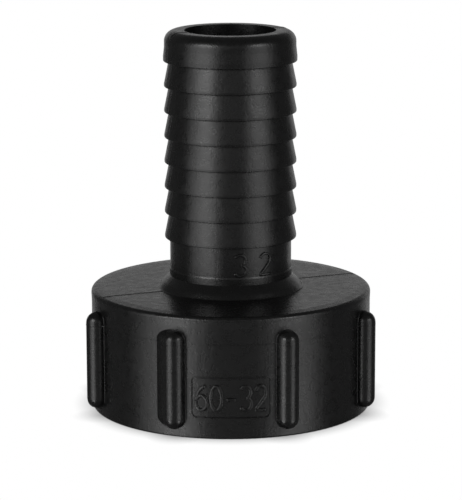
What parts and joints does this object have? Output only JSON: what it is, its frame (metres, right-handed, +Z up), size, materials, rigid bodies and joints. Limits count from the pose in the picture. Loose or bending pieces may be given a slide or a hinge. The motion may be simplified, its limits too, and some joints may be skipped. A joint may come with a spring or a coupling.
{
  "type": "ibc tap adapter",
  "caption": "Wide ribbed cap with a coarse inside thread and a barbed hose tail, for joining a hose to a bulk container's tap, with a flat sealing washer inside.",
  "frame": {"origin": "on the axis, in the plane of the cap's rim, which the part stands on", "axes": "+Z up along the hose tail and the bore; -Y is the front, where the cap's size panel is; ribs lie 22.5 degrees either side of -Y"},
  "size_m": [0.0718, 0.0718, 0.0951],
  "materials": {
    "moulded_plastic": "satin black moulded plastic",
    "washer_rubber": "dull black rubber"
  },
  "bodies": {
    "root": {"adapter_body": "moulded_plastic", "sealing_washer": "washer_rubber"}
  },
  "joints": []
}
